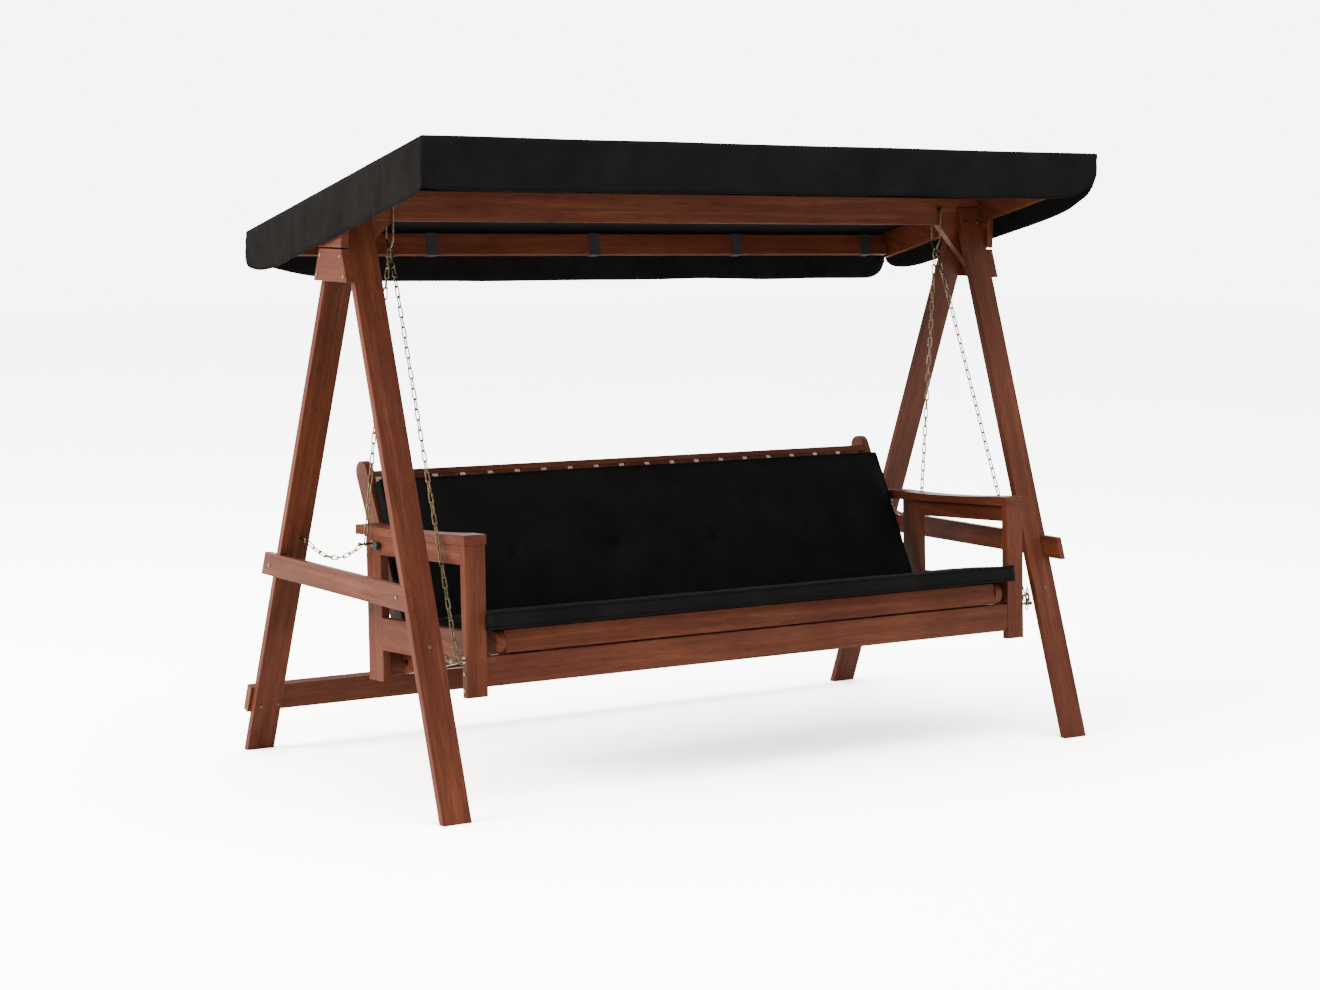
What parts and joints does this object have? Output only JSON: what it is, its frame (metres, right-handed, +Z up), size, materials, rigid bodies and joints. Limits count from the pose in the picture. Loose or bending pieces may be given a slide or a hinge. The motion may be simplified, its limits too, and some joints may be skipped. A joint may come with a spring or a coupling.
{
  "type": "porch swing",
  "caption": "Stained wooden garden swing seat hung on chains in an A-frame stand, with a sloping fabric roof and a slatted bench with cushions that folds down flat.",
  "frame": {"origin": "on the ground under the middle of the stand", "axes": "+X along the bench to the sitter's left, +Y to the back, +Z up"},
  "size_m": [2.576, 1.265, 1.9472],
  "materials": {
    "stained_wood": "satin",
    "roof_cloth": "matte",
    "cushion_cloth": "matte",
    "zinc_steel": "satin",
    "black_plastic": "matte"
  },
  "bodies": {
    "stand": {"leg_front_left": "stained_wood", "leg_front_right": "stained_wood", "leg_rear_left": "stained_wood", "leg_rear_right": "stained_wood", "side_brace_left": "stained_wood", "side_brace_right": "stained_wood", "gusset_left": "stained_wood", "gusset_right": "stained_wood", "roof_block_left": "stained_wood", "roof_block_right": "stained_wood", "roof_side_rail_left": "stained_wood", "roof_side_rail_right": "stained_wood", "knee_braces": "stained_wood", "roof_straps": "roof_cloth", "top_beam": "stained_wood", "rear_stretcher": "stained_wood", "roof_front_rail": "stained_wood", "roof_rear_rail": "stained_wood", "canopy_top": "roof_cloth", "canopy_front_valance": "roof_cloth", "canopy_rear_valance": "roof_cloth", "canopy_left_valance": "roof_cloth", "canopy_right_valance": "roof_cloth", "stand_screws": "zinc_steel", "stirrups": "zinc_steel", "stirrup_bolts": "zinc_steel", "leg_hooks": "zinc_steel"},
    "swing": {"arm_front_post_left": "stained_wood", "arm_front_post_right": "stained_wood", "arm_rear_post_left": "stained_wood", "arm_rear_post_right": "stained_wood", "arm_upper_rail_left": "stained_wood", "arm_upper_rail_right": "stained_wood", "arm_lower_rail_left": "stained_wood", "arm_lower_rail_right": "stained_wood", "armrest_left": "stained_wood", "armrest_right": "stained_wood", "chain_front_left": "zinc_steel", "chain_front_right": "zinc_steel", "chain_rear_left": "zinc_steel", "chain_rear_right": "zinc_steel", "front_cross_rail": "stained_wood", "rear_cross_rail": "stained_wood", "chain_bolts": "zinc_steel", "clamp_knobs": "black_plastic", "arm_screws": "zinc_steel", "hold_chains": "zinc_steel"},
    "seat": {"seat_rail_left": "stained_wood", "seat_rail_right": "stained_wood", "seat_front_board": "stained_wood", "seat_rear_board": "stained_wood", "seat_slats": "stained_wood", "seat_cushion": "cushion_cloth", "hinge_bolts": "zinc_steel"},
    "backrest": {"back_stile_left": "stained_wood", "back_stile_right": "stained_wood", "back_bottom_rail": "stained_wood", "back_top_rail": "stained_wood", "back_slats": "stained_wood", "back_cushion": "cushion_cloth"}
  },
  "joints": [
    {"name": "swing_to_and_fro", "type": "hinge", "parent": "stand", "child": "swing", "pos_m": [0, 0, 1.627], "axis": [1, 0, 0], "range_deg": [-20, 20], "deforming": ["hold_chains"]},
    {"name": "seat_tilt", "type": "hinge", "parent": "swing", "child": "seat", "pos_m": [0, -0.46504, 0.44612], "axis": [1, 0, 0], "range_deg": [0, 12.3]},
    {"name": "back_recline", "type": "hinge", "parent": "seat", "child": "backrest", "pos_m": [0, 0.00005, 0.35602], "axis": [1, 0, 0], "range_deg": [-77.8, 0]}
  ],
  "couplings": [
    {"joint": "seat_tilt", "follows": "back_recline", "ratio": -0.1573}
  ]
}
